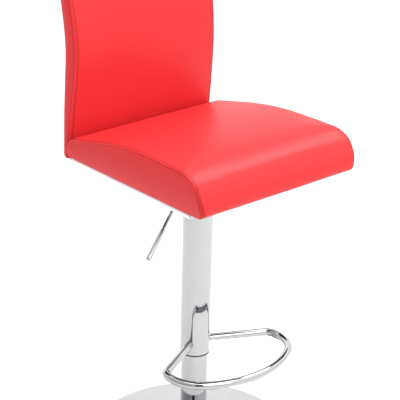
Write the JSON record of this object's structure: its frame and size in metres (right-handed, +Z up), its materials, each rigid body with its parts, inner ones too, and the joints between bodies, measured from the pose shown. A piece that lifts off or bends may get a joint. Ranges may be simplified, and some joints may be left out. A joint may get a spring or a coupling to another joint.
{
  "type": "adjustable swivel stool",
  "caption": "Height-adjustable swivel bar stool: padded seat and tall back in stitched red leatherette on a chromed gas-lift column, with a footrest loop, a release lever and a round base.",
  "frame": {"origin": "on the floor, on the column's axis, under the middle of the round base", "axes": "+Z up along the column; the sitter faces -Y, so the back is towards +Y; the release lever is on the sitter's right, towards -X"},
  "size_m": [0.405, 0.4507, 1.015],
  "materials": {
    "chrome": "polished",
    "black_rubber": "matte",
    "raw_steel": "satin",
    "zinc_steel": "satin",
    "brass": "satin",
    "aluminium": "satin",
    "black_paint": "satin",
    "black_plastic": "matte",
    "plywood": "matte",
    "foam": "matte",
    "red_leather": "satin",
    "black_fabric": "matte"
  },
  "bodies": {
    "base": {"base_disc": "chrome", "floor_ring": "black_rubber", "ballast_plate": "raw_steel", "column_flange": "raw_steel", "flange_bolts": "zinc_steel", "column_tube": "chrome", "column_floor": "raw_steel", "guide_bush": "black_plastic", "lower_race": "raw_steel"},
    "gas_rod": {"upper_race": "raw_steel", "bearing_balls": "raw_steel", "ball_cage": "brass", "rubber_buffer": "black_rubber", "rod_washer": "raw_steel", "rod_clip": "raw_steel", "piston_rod": "raw_steel", "piston": "aluminium", "piston_seal": "black_rubber", "piston_nut": "raw_steel"},
    "seat_assembly": {"gas_cylinder": "black_paint", "cylinder_gland": "black_plastic", "taper_socket": "black_paint", "sleeve": "chrome", "sleeve_guide_ring": "black_plastic", "footrest_loop": "chrome", "side_rail_left": "chrome", "side_rail_right": "chrome", "rail_end_caps": "chrome", "front_cross_bar": "black_paint", "rear_cross_bar": "black_paint", "mount_plate": "black_paint", "mount_washers": "zinc_steel", "mount_bolts": "zinc_steel", "seat_tnuts": "zinc_steel", "back_upright_left": "chrome", "back_upright_right": "chrome", "back_bolts": "zinc_steel", "lever_bracket": "black_paint", "lever_pivot_pin": "zinc_steel", "seat_board": "plywood", "seat_foam": "foam", "seat_cover": "red_leather", "dust_cover": "black_fabric", "back_board": "plywood", "back_foam": "foam", "back_cover": "red_leather"},
    "release_lever": {"lever_rod": "chrome", "lever_grip": "chrome"},
    "valve_stem": {"valve_pin": "raw_steel"}
  },
  "joints": [
    {"name": "seat_swivel", "type": "hinge", "parent": "base", "child": "gas_rod", "pos_m": [0, 0, 0.022], "axis": [0, 0, 1], "continuous": true},
    {"name": "seat_height", "type": "slide", "parent": "gas_rod", "child": "seat_assembly", "axis": [0, 0, 1], "range_m": [-0.09, 0.12]},
    {"name": "lever_lift", "type": "hinge", "parent": "seat_assembly", "child": "release_lever", "pos_m": [-0.01932, -0.00518, 0.59], "axis": [-0.2588, 0.9659, 0], "range_deg": [0, 6], "stiffness_Nm_per_rad": 1, "springref_deg": -14.32},
    {"name": "valve_press", "type": "slide", "parent": "seat_assembly", "child": "valve_stem", "axis": [0, 0, -1], "range_m": [0, 0.0021]}
  ],
  "couplings": [
    {"joint": "valve_press", "follows": "lever_lift", "m_per_rad": 0.02}
  ]
}
